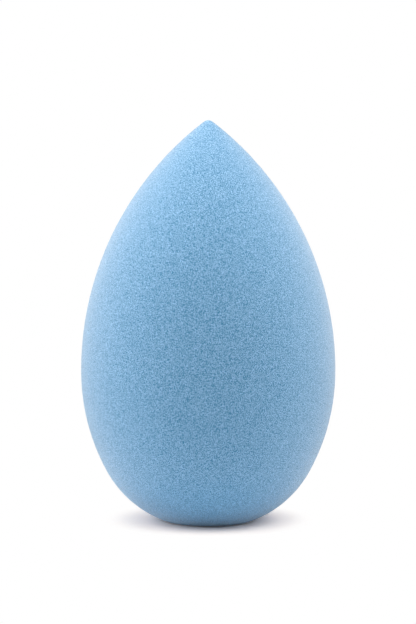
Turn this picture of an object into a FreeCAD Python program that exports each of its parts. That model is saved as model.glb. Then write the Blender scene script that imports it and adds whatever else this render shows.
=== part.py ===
import FreeCAD, Part
import math
import os

import Sketcher

# A teardrop makeup sponge: a soft foam core inside a thin flocked skin that is bonded to it all over.
# It stands on a small flat base on z = 0, with its pointed tip straight up along +Z.

os.makedirs("parts", exist_ok=True)
doc = FreeCAD.newDocument("makeup_sponge")

# Driving dimensions, in millimetres and degrees.
SIZES = {
    "sponge_diameter": 40.0,  # across the belly, over the skin
    "sponge_height": 63.0,  # from the flat base to the top of the tip
    "belly_height": 23.6,  # from the flat base up to the widest section
    "base_diameter": 13.2,  # the flat that the sponge stands on
    "skin_thickness": 0.5,  # flock pile and the adhesive that holds it
    "core_tip_radius": 0.55,  # rounding of the foam's tip, under the skin
    "core_heel_radius": 2.0,  # rounding between the foam's base and its flank
    "lower_belly_angle": 28.0,  # turn of the arc just below the belly, down from vertical
    "heel_angle": 23.0,  # turn of the heel arc, up from the base
}

sheet = doc.addObject("Spreadsheet::Sheet", "Sizes")
for row, (alias, value) in enumerate(SIZES.items(), start=1):
    sheet.set(f"A{row}", alias)
    sheet.set(f"B{row}", str(value))
    sheet.setAlias(f"B{row}", alias)
doc.recompute()

FULL_TURN = 360
QUARTER_TURN = math.pi / 2
VOLUME_TOLERANCE_SHARE = 1e-6
START_INDEX, END_INDEX, CENTRE_INDEX = 1, 2, 3
ORIGIN_POINT = (-1, START_INDEX)
VERTICAL_AXIS_INDEX = -2
NOTHING = "0"
SKIN = "Sizes.skin_thickness"


def arc(centre, radius, start_angle, end_angle):
    """An arc in a sketch, counter-clockwise, with its angles in radians."""
    circle = Part.Circle(FreeCAD.Vector(*centre, 0), FreeCAD.Vector(0, 0, 1), radius)
    return Part.ArcOfCircle(circle, start_angle, end_angle)


def outline_arcs(inset):
    """The flank of the half outline, set in by inset: five tangent arcs, from the base to the tip."""
    half_width = sheet.sponge_diameter / 2 - inset
    top = sheet.sponge_height - inset
    base_half = sheet.base_diameter / 2
    belly = sheet.belly_height
    heel_radius = sheet.core_heel_radius + sheet.skin_thickness - inset
    tip_radius = sheet.core_tip_radius + sheet.skin_thickness - inset

    # Below the belly, the two long arcs span what the heel arc leaves of the width and of the height.
    belly_end = math.radians(sheet.lower_belly_angle)
    heel_end = QUARTER_TURN - math.radians(sheet.heel_angle)
    across = half_width - base_half - heel_radius * math.cos(heel_end)
    rise = belly - inset - heel_radius * (1 - math.sin(heel_end))
    belly_in, belly_down = 1 - math.cos(belly_end), math.sin(belly_end)
    shoulder_in = math.cos(belly_end) - math.cos(heel_end)
    shoulder_down = math.sin(heel_end) - math.sin(belly_end)
    spread = shoulder_in * belly_down - belly_in * shoulder_down
    belly_radius = (shoulder_in * rise - shoulder_down * across) / spread
    shoulder_radius = (belly_down * across - belly_in * rise) / spread

    heel_centre = (base_half, inset + heel_radius)
    reach = shoulder_radius - heel_radius
    shoulder_centre = (
        base_half - reach * math.cos(heel_end),
        inset + heel_radius + reach * math.sin(heel_end),
    )
    belly_centre = (half_width - belly_radius, belly)

    # Above the belly, one arc leaves the belly upright and runs into the round of the tip.
    tip_rise = top - tip_radius - belly
    flank_radius = (half_width**2 + tip_rise**2 - tip_radius**2) / (2 * (half_width - tip_radius))
    flank_centre = (half_width - flank_radius, belly)
    tip_start = math.atan2(tip_rise, flank_radius - half_width)

    return [
        arc(heel_centre, heel_radius, -QUARTER_TURN, -heel_end),
        arc(shoulder_centre, shoulder_radius, -heel_end, -belly_end),
        arc(belly_centre, belly_radius, -belly_end, 0),
        arc(flank_centre, flank_radius, 0, tip_start),
        arc((0, top - tip_radius), tip_radius, tip_start, QUARTER_TURN),
    ]


def outline_sketch(body, name, inset):
    """The closed half outline in the body's XZ plane, set in by an expression of the sheet's sizes."""
    plane = next(p for p in body.Origin.OriginFeatures if p.Role == "XZ_Plane")
    sketch = body.newObject("Sketcher::SketchObject", name)
    sketch.AttachmentSupport = [(plane, "")]
    sketch.MapMode = "FlatFace"

    flank = outline_arcs(sketch.evalExpression(inset))
    base_edge, tip = flank[0].StartPoint, flank[-1].EndPoint
    base_middle = FreeCAD.Vector(0, base_edge.y, 0)
    base_line = Part.LineSegment(base_middle, base_edge)
    axis_line = Part.LineSegment(tip, base_middle)
    base, heel, shoulder, belly, upper, point, axis = sketch.addGeometry([base_line, *flank, axis_line])

    chain = [base, heel, shoulder, belly, upper, point]
    for lower, higher in zip(chain, chain[1:]):
        sketch.addConstraint(Sketcher.Constraint("Tangent", lower, END_INDEX, higher, START_INDEX))
    sketch.addConstraint(Sketcher.Constraint("Coincident", point, END_INDEX, axis, START_INDEX))
    sketch.addConstraint(Sketcher.Constraint("Coincident", axis, END_INDEX, base, START_INDEX))
    sketch.addConstraint(Sketcher.Constraint("Horizontal", base))
    sketch.addConstraint(Sketcher.Constraint("Horizontal", belly, CENTRE_INDEX, belly, END_INDEX))
    for place in ((base, START_INDEX), (point, CENTRE_INDEX), (point, END_INDEX)):
        sketch.addConstraint(Sketcher.Constraint("PointOnObject", *place, VERTICAL_AXIS_INDEX))

    def drive(label, kind, places, expression):
        """A named dimension of the sketch, bound to the sheet."""
        now = sketch.evalExpression(expression)
        value = math.radians(now) if kind == "Angle" else now
        index = sketch.addConstraint(Sketcher.Constraint(kind, *places, value))
        sketch.renameConstraint(index, label)
        sketch.setExpression(f"Constraints.{label}", expression)

    cover = f"{SKIN} - {inset}"
    half_width = f"Sizes.sponge_diameter / 2 - {inset}"
    drive("base_half_width", "DistanceX", (*ORIGIN_POINT, base, END_INDEX), "Sizes.base_diameter / 2")
    drive("base_level", "DistanceY", (*ORIGIN_POINT, base, END_INDEX), inset)
    drive("heel_radius", "Radius", (heel,), f"Sizes.core_heel_radius + {cover}")
    drive("heel_turn", "Angle", (heel,), "Sizes.heel_angle")
    drive("belly_turn", "Angle", (belly,), "Sizes.lower_belly_angle")
    drive("half_width", "DistanceX", (*ORIGIN_POINT, belly, END_INDEX), half_width)
    drive("belly_level", "DistanceY", (*ORIGIN_POINT, belly, END_INDEX), "Sizes.belly_height")
    drive("tip_radius", "Radius", (point,), f"Sizes.core_tip_radius + {cover}")
    drive("tip_level", "DistanceY", (*ORIGIN_POINT, point, END_INDEX), f"Sizes.sponge_height - {inset}")
    return sketch


def turned(body, kind, name, sketch):
    """A solid of revolution, added or cut, of the outline about the Z axis."""
    feature = body.newObject(f"PartDesign::{kind}", name)
    feature.Profile = sketch
    feature.ReferenceAxis = (sketch, ["V_Axis"])
    feature.Angle = FULL_TURN
    body.Tip = feature
    doc.recompute()


# The foam core, cut or moulded in one piece, fills the skin.
core = doc.addObject("PartDesign::Body", "foam_core")
core.Label = "foam_core"
turned(core, "Revolution", "core_form", outline_sketch(core, "core_outline", SKIN))

# The flocked skin is a closed layer of even thickness, with the core's own form as its inside.
skin = doc.addObject("PartDesign::Body", "flocked_skin")
skin.Label = "flocked_skin"
turned(skin, "Revolution", "skin_form", outline_sketch(skin, "skin_outline", NOTHING))
full_volume = skin.Shape.Volume
turned(skin, "Groove", "core_space", outline_sketch(skin, "core_space_outline", SKIN))

for body in (core, skin):
    body.Placement = FreeCAD.Placement()
doc.recompute()

faults = [o.Label for o in doc.Objects if {"Invalid", "Error"} & set(o.State)]
for body in (core, skin):
    shape = body.Shape
    if shape.isNull() or not shape.isValid() or len(shape.Solids) != 1:
        faults.append(body.Label)
if faults:
    raise RuntimeError(f"these failed to build: {faults}")

space = full_volume - skin.Shape.Volume
if not math.isclose(space, core.Shape.Volume, rel_tol=VOLUME_TOLERANCE_SHARE):
    raise RuntimeError(f"the skin holds {space:.3f} mm3, and the core is {core.Shape.Volume:.3f} mm3")

for body in (core, skin):
    body.Shape.exportStep(f"parts/{body.Label}.step")
    box = body.Shape.BoundBox
    size = f"{box.XLength:.2f} mm wide, {box.ZLength:.2f} mm tall"
    print(f"{body.Label}: {size}, {body.Shape.Volume:.1f} mm3")
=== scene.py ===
import math

import bpy
import numpy as np
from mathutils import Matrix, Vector


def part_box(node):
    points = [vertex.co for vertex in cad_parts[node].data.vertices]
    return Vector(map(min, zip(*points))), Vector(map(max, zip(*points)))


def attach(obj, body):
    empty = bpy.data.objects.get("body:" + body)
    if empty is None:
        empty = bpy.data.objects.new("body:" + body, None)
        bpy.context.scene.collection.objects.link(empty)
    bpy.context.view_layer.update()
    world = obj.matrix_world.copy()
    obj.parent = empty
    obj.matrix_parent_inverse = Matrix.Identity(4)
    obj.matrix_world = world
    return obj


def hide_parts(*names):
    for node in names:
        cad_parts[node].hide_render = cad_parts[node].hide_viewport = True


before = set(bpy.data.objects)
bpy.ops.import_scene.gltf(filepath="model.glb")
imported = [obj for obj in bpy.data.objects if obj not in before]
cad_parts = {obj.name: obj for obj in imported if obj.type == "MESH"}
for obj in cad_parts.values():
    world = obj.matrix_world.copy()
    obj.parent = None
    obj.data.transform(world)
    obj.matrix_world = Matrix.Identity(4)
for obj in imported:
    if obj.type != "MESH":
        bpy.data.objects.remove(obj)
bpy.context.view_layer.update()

# Sizes of the sponge, in metres: the overall ones are the solids' own, and the rest repeat the outline's.
MM = 0.001
skin_low, skin_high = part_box("flocked_skin")
core_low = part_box("foam_core")[0]
HALF_WIDTH = skin_high.x
HEIGHT = skin_high.z
SKIN_THICKNESS = core_low.z - skin_low.z
BELLY_HEIGHT = 23.6 * MM
BASE_RADIUS = 6.6 * MM
TIP_RADIUS = 1.05 * MM
HEEL_RADIUS = 2.5 * MM
LOWER_BELLY_ANGLE = math.radians(28)
HEEL_ANGLE = math.radians(23)
BASE_POINTS = 100
ARC_POINTS = 400

# Faces along each edge of the cube that a piece starts as, and the places of its six sides on the map.
OUTSIDE_FACES = 101
INSIDE_FACES = 40
CORE_FACES = 96
MAP_COLUMNS, MAP_ROWS = 3, 2
MAP_MARGIN = 0.006
INSIDE_STRIP = 0.03

# The relief: clumps of pile and the tips in them, and the cells that sink into the foam.
CLUMP_GRAIN, CLUMP_DEPTH = 1.0 * MM, 0.03 * MM
TIP_GRAIN, TIP_DEPTH = 0.5 * MM, 0.02 * MM
CELL_GRAIN, CELL_DEPTH = 0.9 * MM, 0.12 * MM

# Plain white, for the sheen and the room.
WHITE = (1, 1, 1, 1)

# The finish of the pile: pale fibre tips, deeper blue in the gaps, and less red towards the base, which is
# painted light.
# The grain is partly painted: painted sheen on the fibre tips and painted shade in the gaps.
TIP_SHEEN_BLUE = (0.320, 0.575, 0.838)
GAP_SHADE_BLUE = (0.028, 0.212, 0.412)
PILE_GRAIN = 0.13 * MM
PILE_RANGE = (0.33, 0.67)
PILE_DEPTH = 0.06 * MM
PILE_TILT = (0.6, 0.4, 0.3)
# Painted light: the blue loses red towards the base, standing in for light carried through the foam and a
# weaker sheen there.
BASE_PAINTED_LIGHT = (0.58, 0.89, 0.97)
PAINTED_LIGHT_TOP = 10 * MM
PILE_FINISH = {
    "Roughness": 1.0,
    "Specular IOR Level": 0.0,
    "Sheen Weight": 0.68,
    "Sheen Roughness": 0.55,
    "Sheen Tint": WHITE,
}

# The finish of the foam: light blue, and deeper blue in the pores, which is painted shade.
FOAM_BLUE = (0.27, 0.50, 0.74)
PORE_SHADE_BLUE = (0.12, 0.27, 0.44)
FOAM_PORE = 0.4 * MM
PORE_RANGE = (0.05, 0.55)
FOAM_FINISH = {"Roughness": 0.95, "Specular IOR Level": 0.2}

# The floor. Seen plainly, it holds the shadow near the sponge. Its colour there is above 1, so that it reads
# as white where it is lit, and warm, against the blue that the sponge sends onto it.
FLOOR_SIZE = 60
SHADOW_WHOLE, SHADOW_GONE = 8.8 * MM, 17.2 * MM
SHADOW_WHITE = (1.47, 1.20, 1.07, 1)
NEAR_FLOOR, NEAR_BOUNCE = 14 * MM, 0.92
FAR_FLOOR, FAR_BOUNCE = 34 * MM, 0.68

# The light: an even room, and square lamps by their name, with their place, size and power in watts.
ROOM_STRENGTH = 0.28
SOFTBOXES = {
    "softbox_left": ((-0.6, 0, 0.30), 0.6, 3.2),
    "softbox_right": ((0.6, 0, 0.46), 0.6, 2.9),
    "softbox_top": ((0, 0, 0.5), 0.4, 2.2),
}

# The photo's camera: level with its frame, a little above the sponge, with a long lens. The sensor is in
# millimetres, and the focal length in pixels of the photo.
CAMERA_DISTANCE = 0.4
CAMERA_HEIGHT = 69.03 * MM
CAMERA_AIM = Vector((-0.04 * MM, 0, 32.89 * MM))
SENSOR_WIDTH = 36
FOCAL_PX = 2554.6
LONG_SIDE_PX = 624

# Nodes stand in a row in the editor. A Mix node's sockets for colours go by their number.
NODE_SPACING, NODES_IN_ROW = 220, 12
MIX_FIRST, MIX_SECOND, MIX_RESULT = 6, 7, 2


def arc_points(centre, radius, start, end):
    """Points on an arc, as rows of distance from the axis and height."""
    angle = np.linspace(start, end, ARC_POINTS)
    return np.column_stack([centre[0] + radius * np.cos(angle), centre[1] + radius * np.sin(angle)])


def half_outline(inset):
    """The sponge's half outline, from the middle of its base to its tip, set in by a distance."""
    quarter = math.pi / 2
    half_width, top = HALF_WIDTH - inset, HEIGHT - inset
    heel, tip = HEEL_RADIUS - inset, TIP_RADIUS - inset

    # The lower belly and the shoulder: two arcs, from upright at the belly to the heel, tangent all along.
    belly_end, heel_end = LOWER_BELLY_ANGLE, quarter - HEEL_ANGLE
    across = half_width - BASE_RADIUS - heel * math.cos(heel_end)
    rise = BELLY_HEIGHT - inset - heel * (1 - math.sin(heel_end))
    belly_in, belly_down = 1 - math.cos(belly_end), math.sin(belly_end)
    shoulder_in = math.cos(belly_end) - math.cos(heel_end)
    shoulder_down = math.sin(heel_end) - math.sin(belly_end)
    spread = shoulder_in * belly_down - belly_in * shoulder_down
    belly = (shoulder_in * rise - shoulder_down * across) / spread
    shoulder = (belly_down * across - belly_in * rise) / spread
    heel_centre = np.array([BASE_RADIUS, HEEL_RADIUS])
    heel_way = np.array([-math.cos(heel_end), math.sin(heel_end)])

    # The flank: one arc, upright at the belly and tangent to the tip.
    tip_rise = top - tip - BELLY_HEIGHT
    flank = (half_width**2 + tip_rise**2 - tip**2) / (2 * (half_width - tip))
    tip_start = math.atan2(tip_rise, flank - half_width)

    base = np.column_stack([np.linspace(0, BASE_RADIUS, BASE_POINTS), np.full(BASE_POINTS, inset)])
    return np.vstack([
        base,
        arc_points(heel_centre, heel, -quarter, -heel_end),
        arc_points(heel_centre + heel_way * (shoulder - heel), shoulder, -heel_end, -belly_end),
        arc_points((half_width - belly, BELLY_HEIGHT), belly, -belly_end, 0),
        arc_points((half_width - flank, BELLY_HEIGHT), flank, 0, tip_start),
        arc_points((0, top - tip), tip, tip_start, quarter),
    ])


def select_only(piece):
    """Leaves just this piece selected and active."""
    bpy.ops.object.select_all(action="DESELECT")
    piece.select_set(True)
    bpy.context.view_layer.objects.active = piece


def teardrop(name, inset, faces, map_low, map_high):
    """A closed teardrop of even quads, shaped from a cube, with its six sides side by side on the map."""
    bpy.ops.object.select_all(action="DESELECT")
    bpy.ops.mesh.primitive_cube_add(size=2, calc_uvs=False)
    piece = bpy.context.object
    piece.name = piece.data.name = name
    bpy.ops.object.mode_set(mode="EDIT")
    bpy.ops.mesh.select_all(action="SELECT")
    bpy.ops.mesh.subdivide(number_cuts=faces - 1, smoothness=0)
    bpy.ops.object.mode_set(mode="OBJECT")

    mesh = piece.data
    cube = np.empty(len(mesh.vertices) * 3)
    mesh.vertices.foreach_get("co", cube)
    cube = cube.reshape(-1, 3)
    lay_out_sides(mesh, cube, map_low, map_high)

    # Equal angles on the cube's sides, then equal shares of the surface from the base up.
    way = np.tan(cube * math.pi / 4)
    way /= np.linalg.norm(way, axis=1)[:, None]
    outline = half_outline(inset)
    step = np.diff(outline, axis=0)
    band = np.hypot(step[:, 0], step[:, 1]) * (outline[1:, 0] + outline[:-1, 0]) * math.pi
    covered = np.concatenate([[0], np.cumsum(band)])
    share = (1 + way[:, 2]) / 2 * covered[-1]
    radius = np.interp(share, covered, outline[:, 0])
    height = np.interp(share, covered, outline[:, 1])
    turn = np.arctan2(way[:, 1], way[:, 0])
    place = np.column_stack([radius * np.cos(turn), radius * np.sin(turn), height])
    mesh.vertices.foreach_set("co", place.ravel())
    mesh.update()
    select_only(piece)
    bpy.ops.object.shade_smooth()
    return piece


def lay_out_sides(mesh, cube, low, high):
    """A map of the cube's six sides, a column for each axis, between two corners of the image."""
    layer = mesh.uv_layers.new(name="OFBake")
    corner = np.empty(len(mesh.loops), int)
    mesh.loops.foreach_get("vertex_index", corner)
    normal = np.empty(len(mesh.polygons) * 3)
    mesh.polygons.foreach_get("normal", normal)
    corners_each = len(mesh.loops) // len(mesh.polygons)
    normal = np.repeat(normal.reshape(-1, 3), corners_each, axis=0)
    axis = np.abs(normal).argmax(1)
    positive = np.take_along_axis(normal, axis[:, None], 1)[:, 0] > 0
    at = cube[corner]
    across = np.where(axis == 0, at[:, 1], at[:, 0])
    up = np.where(axis == 2, at[:, 1], at[:, 2])
    inside = np.column_stack([across, up]) * (0.5 - MAP_MARGIN) + 0.5
    cell = np.column_stack([axis, positive])
    low, high = np.array(low), np.array(high)
    uv = low + (high - low) * (cell + inside) / np.array([MAP_COLUMNS, MAP_ROWS])
    layer.uv.foreach_set("vector", uv.astype(np.float32).ravel())


def relief(piece, name, kind, grain, depth, mid_level=0.5, **settings):
    """Raises and sinks the surface by a pattern of the given grain and depth, and keeps the result."""
    pattern = bpy.data.textures.new(name, type=kind)
    pattern.noise_scale = grain
    for key, value in settings.items():
        setattr(pattern, key, value)
    select_only(piece)
    bpy.ops.object.modifier_add(type="DISPLACE")
    push = piece.modifiers[-1]
    push.texture = pattern
    push.texture_coords = "LOCAL"
    push.direction = "NORMAL"
    push.strength = depth
    push.mid_level = mid_level
    bpy.ops.object.modifier_apply(modifier=push.name)


def stand_flat(piece):
    """Presses what the relief pushed below the floor back onto it."""
    for vertex in piece.data.vertices:
        vertex.co.z = max(vertex.co.z, 0)


def set_inputs(made, values):
    """Sets a node's inputs by their names."""
    for name, value in values.items():
        made.inputs[name].default_value = value


def node(tree, kind, inputs=None, **settings):
    """A new node to the right of those before it, with its settings and its inputs as given."""
    made = tree.nodes.new(kind)
    made.location.x = NODE_SPACING * (len(tree.nodes) - NODES_IN_ROW)
    for key, value in settings.items():
        setattr(made, key, value)
    set_inputs(made, inputs or {})
    return made


def new_material(name):
    """A new material, with its node tree and its shader."""
    material = bpy.data.materials.new(name)
    material.use_nodes = True
    tree = material.node_tree
    return material, tree, tree.nodes["Principled BSDF"]


def cleared_tree(owner):
    """The node tree of a material or a world, with nothing in it."""
    owner.use_nodes = True
    owner.node_tree.nodes.clear()
    return owner.node_tree


def two_blues(tree, pattern, limits, low_blue, high_blue):
    """A colour that goes from one blue to another as the pattern goes from its low to its high limit."""
    tone = node(tree, "ShaderNodeValToRGB")
    for stop, position, blue in zip(tone.color_ramp.elements, limits, (low_blue, high_blue)):
        stop.position = position
        stop.color = (*blue, 1)
    tree.links.new(pattern, tone.inputs["Fac"])
    return tone.outputs["Color"]


def fade(tree, value, near, far, start=0, end=1):
    """A number that goes smoothly from its start to its end as the value goes from near to far."""
    limits = {"From Min": near, "From Max": far, "To Min": start, "To Max": end}
    made = node(tree, "ShaderNodeMapRange", limits, interpolation_type="SMOOTHSTEP")
    tree.links.new(value, made.inputs["Value"])
    return made.outputs["Result"]


def mix_of(tree, factor, first, second):
    """A shader that goes from the first to the second with the factor."""
    mix = node(tree, "ShaderNodeMixShader")
    tree.links.new(factor, mix.inputs["Fac"])
    tree.links.new(first, mix.inputs[1])
    tree.links.new(second, mix.inputs[2])
    return mix.outputs["Shader"]


def seen_plainly(tree):
    """One for rays that show a surface as it is: the camera's, and those through gloss or glass."""
    path = node(tree, "ShaderNodeLightPath")
    shown = path.outputs["Is Camera Ray"]
    for ray in ("Is Glossy Ray", "Is Transmission Ray"):
        either = node(tree, "ShaderNodeMath", operation="MAXIMUM")
        tree.links.new(shown, either.inputs[0])
        tree.links.new(path.outputs[ray], either.inputs[1])
        shown = either.outputs["Value"]
    return shown


def painted_light_below(tree, place, blue):
    """The same blue, with less red in it the nearer it is to the base: painted light, standing in for light
    carried through the foam.
    """
    height = node(tree, "ShaderNodeSeparateXYZ")
    tree.links.new(place, height.inputs["Vector"])
    low = fade(tree, height.outputs["Z"], 0, PAINTED_LIGHT_TOP, start=1, end=0)
    toned = node(tree, "ShaderNodeMix", data_type="RGBA", blend_type="MULTIPLY")
    tree.links.new(low, toned.inputs["Factor"])
    tree.links.new(blue, toned.inputs[MIX_FIRST])
    toned.inputs[MIX_SECOND].default_value = (*BASE_PAINTED_LIGHT, 1)
    return toned.outputs[MIX_RESULT]


def flock_material():
    """Short dense pile in light blue: pale tips and dark gaps, partly painted sheen and shade, and a pale
    sheen at grazing angles.
    """
    material, tree, shader = new_material("flock_light_blue")
    place = node(tree, "ShaderNodeTexCoord").outputs["Object"]
    # The pattern is tilted, so that the flat base doesn't lie along its grid.
    tilt = node(tree, "ShaderNodeMapping", {"Rotation": PILE_TILT})
    tree.links.new(place, tilt.inputs["Vector"])
    noise = node(tree, "ShaderNodeTexNoise", {"Scale": 1 / PILE_GRAIN, "Detail": 0})
    tree.links.new(tilt.outputs["Vector"], noise.inputs["Vector"])
    pile = noise.outputs["Fac"]
    # A random grain, partly painted sheen on the tips and painted shade in the gaps.
    blue = two_blues(tree, pile, PILE_RANGE, GAP_SHADE_BLUE, TIP_SHEEN_BLUE)
    # The base colour carries painted light near the base.
    tree.links.new(painted_light_below(tree, place, blue), shader.inputs["Base Color"])

    bump = node(tree, "ShaderNodeBump", {"Strength": 1, "Distance": PILE_DEPTH})
    tree.links.new(pile, bump.inputs["Height"])
    tree.links.new(bump.outputs["Normal"], shader.inputs["Normal"])
    set_inputs(shader, PILE_FINISH)
    return material


def foam_material():
    """Fine open-cell foam in light blue, with painted shade darkening its pores."""
    material, tree, shader = new_material("foam_light_blue")
    place = node(tree, "ShaderNodeTexCoord").outputs["Object"]
    cells = node(tree, "ShaderNodeTexVoronoi", {"Scale": 1 / FOAM_PORE})
    tree.links.new(place, cells.inputs["Vector"])
    blue = two_blues(tree, cells.outputs["Distance"], PORE_RANGE, PORE_SHADE_BLUE, FOAM_BLUE)
    tree.links.new(blue, shader.inputs["Base Color"])
    set_inputs(shader, FOAM_FINISH)
    return material


def flocked_skin():
    """The skin: an outer face with its pile, and an inner face against the core."""
    skin = teardrop("flocked_skin_pile", 0, OUTSIDE_FACES, (0, INSIDE_STRIP), (1, 1))
    relief(skin, "pile_clumps", "CLOUDS", CLUMP_GRAIN, CLUMP_DEPTH, noise_depth=1)
    relief(skin, "pile_tips", "CLOUDS", TIP_GRAIN, TIP_DEPTH, noise_depth=0)
    stand_flat(skin)
    inside = teardrop("flocked_skin_inside", SKIN_THICKNESS, INSIDE_FACES, (0, 0), (1, INSIDE_STRIP))
    select_only(inside)
    bpy.ops.object.mode_set(mode="EDIT")
    bpy.ops.mesh.select_all(action="SELECT")
    bpy.ops.mesh.flip_normals()
    bpy.ops.object.mode_set(mode="OBJECT")
    select_only(skin)
    inside.select_set(True)
    bpy.ops.object.join()
    skin.data.materials.append(flock_material())
    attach(skin, "root")
    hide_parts("flocked_skin")


def foam_core():
    """The foam body that fills the skin."""
    core = teardrop("foam_core_cells", SKIN_THICKNESS, CORE_FACES, (0, 0), (1, 1))
    relief(core, "foam_cells", "VORONOI", CELL_GRAIN, -CELL_DEPTH, mid_level=0)
    core.data.materials.append(foam_material())
    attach(core, "root")
    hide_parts("foam_core")


def floor_material():
    """White with the sponge's shadow where it is seen plainly, and from white to grey for all other light."""
    material = bpy.data.materials.new("floor_white")
    tree = cleared_tree(material)
    place = node(tree, "ShaderNodeTexCoord").outputs["Object"]
    away = node(tree, "ShaderNodeVectorMath", operation="LENGTH")
    tree.links.new(place, away.inputs[0])
    distance = away.outputs["Value"]

    shadow = node(tree, "ShaderNodeBsdfDiffuse", {"Color": SHADOW_WHITE})
    backdrop = node(tree, "ShaderNodeEmission")
    far = fade(tree, distance, SHADOW_WHOLE, SHADOW_GONE)
    seen = mix_of(tree, far, shadow.outputs["BSDF"], backdrop.outputs["Emission"])
    bounce = node(tree, "ShaderNodeBsdfDiffuse")
    grey = fade(tree, distance, NEAR_FLOOR, FAR_FLOOR, start=NEAR_BOUNCE, end=FAR_BOUNCE)
    tree.links.new(grey, bounce.inputs["Color"])
    surface = mix_of(tree, seen_plainly(tree), bounce.outputs["BSDF"], seen)
    out = node(tree, "ShaderNodeOutputMaterial")
    tree.links.new(surface, out.inputs["Surface"])
    material.cycles.emission_sampling = "NONE"
    return material


def floor():
    """A white floor that runs out into the white backdrop."""
    bpy.ops.object.select_all(action="DESELECT")
    bpy.ops.mesh.primitive_plane_add(size=FLOOR_SIZE)
    ground = bpy.context.object
    ground.name = "floor"
    ground.data.materials.append(floor_material())


def softbox(name, place, size, watts):
    """A square lamp that faces the sponge's middle."""
    lamp = bpy.data.lights.new(name, type="AREA")
    lamp.size = size
    lamp.energy = watts
    lamp_object = bpy.data.objects.new(name, lamp)
    bpy.context.scene.collection.objects.link(lamp_object)
    lamp_object.location = place
    towards = Vector((0, 0, HEIGHT / 2)) - Vector(place)
    lamp_object.rotation_euler = towards.to_track_quat("-Z", "Y").to_euler()
    lamp_object.visible_camera = False


def studio():
    """Plain soft light: a faint even room with a white backdrop, and the softboxes."""
    world = bpy.data.worlds.new("studio")
    bpy.context.scene.world = world
    tree = cleared_tree(world)
    room = node(tree, "ShaderNodeBackground", {"Color": WHITE, "Strength": ROOM_STRENGTH})
    backdrop = node(tree, "ShaderNodeBackground", {"Color": WHITE, "Strength": 1})
    surface = mix_of(tree, seen_plainly(tree), room.outputs["Background"], backdrop.outputs["Background"])
    out = node(tree, "ShaderNodeOutputWorld")
    tree.links.new(surface, out.inputs["Surface"])
    for name, (place, size, watts) in SOFTBOXES.items():
        softbox(name, place, size, watts)


def camera():
    """The camera that fits the outline in the photo."""
    data = bpy.data.cameras.new("camera")
    data.sensor_width = SENSOR_WIDTH
    data.lens = FOCAL_PX * SENSOR_WIDTH / LONG_SIDE_PX
    eye = bpy.data.objects.new("camera", data)
    bpy.context.scene.collection.objects.link(eye)
    eye.location = (CAMERA_AIM.x, -CAMERA_DISTANCE, CAMERA_HEIGHT)
    eye.rotation_euler = (CAMERA_AIM - eye.location).to_track_quat("-Z", "Y").to_euler()
    bpy.context.scene.camera = eye


flocked_skin()
foam_core()
floor()
studio()
camera()
bpy.context.scene.view_settings.view_transform = "Standard"
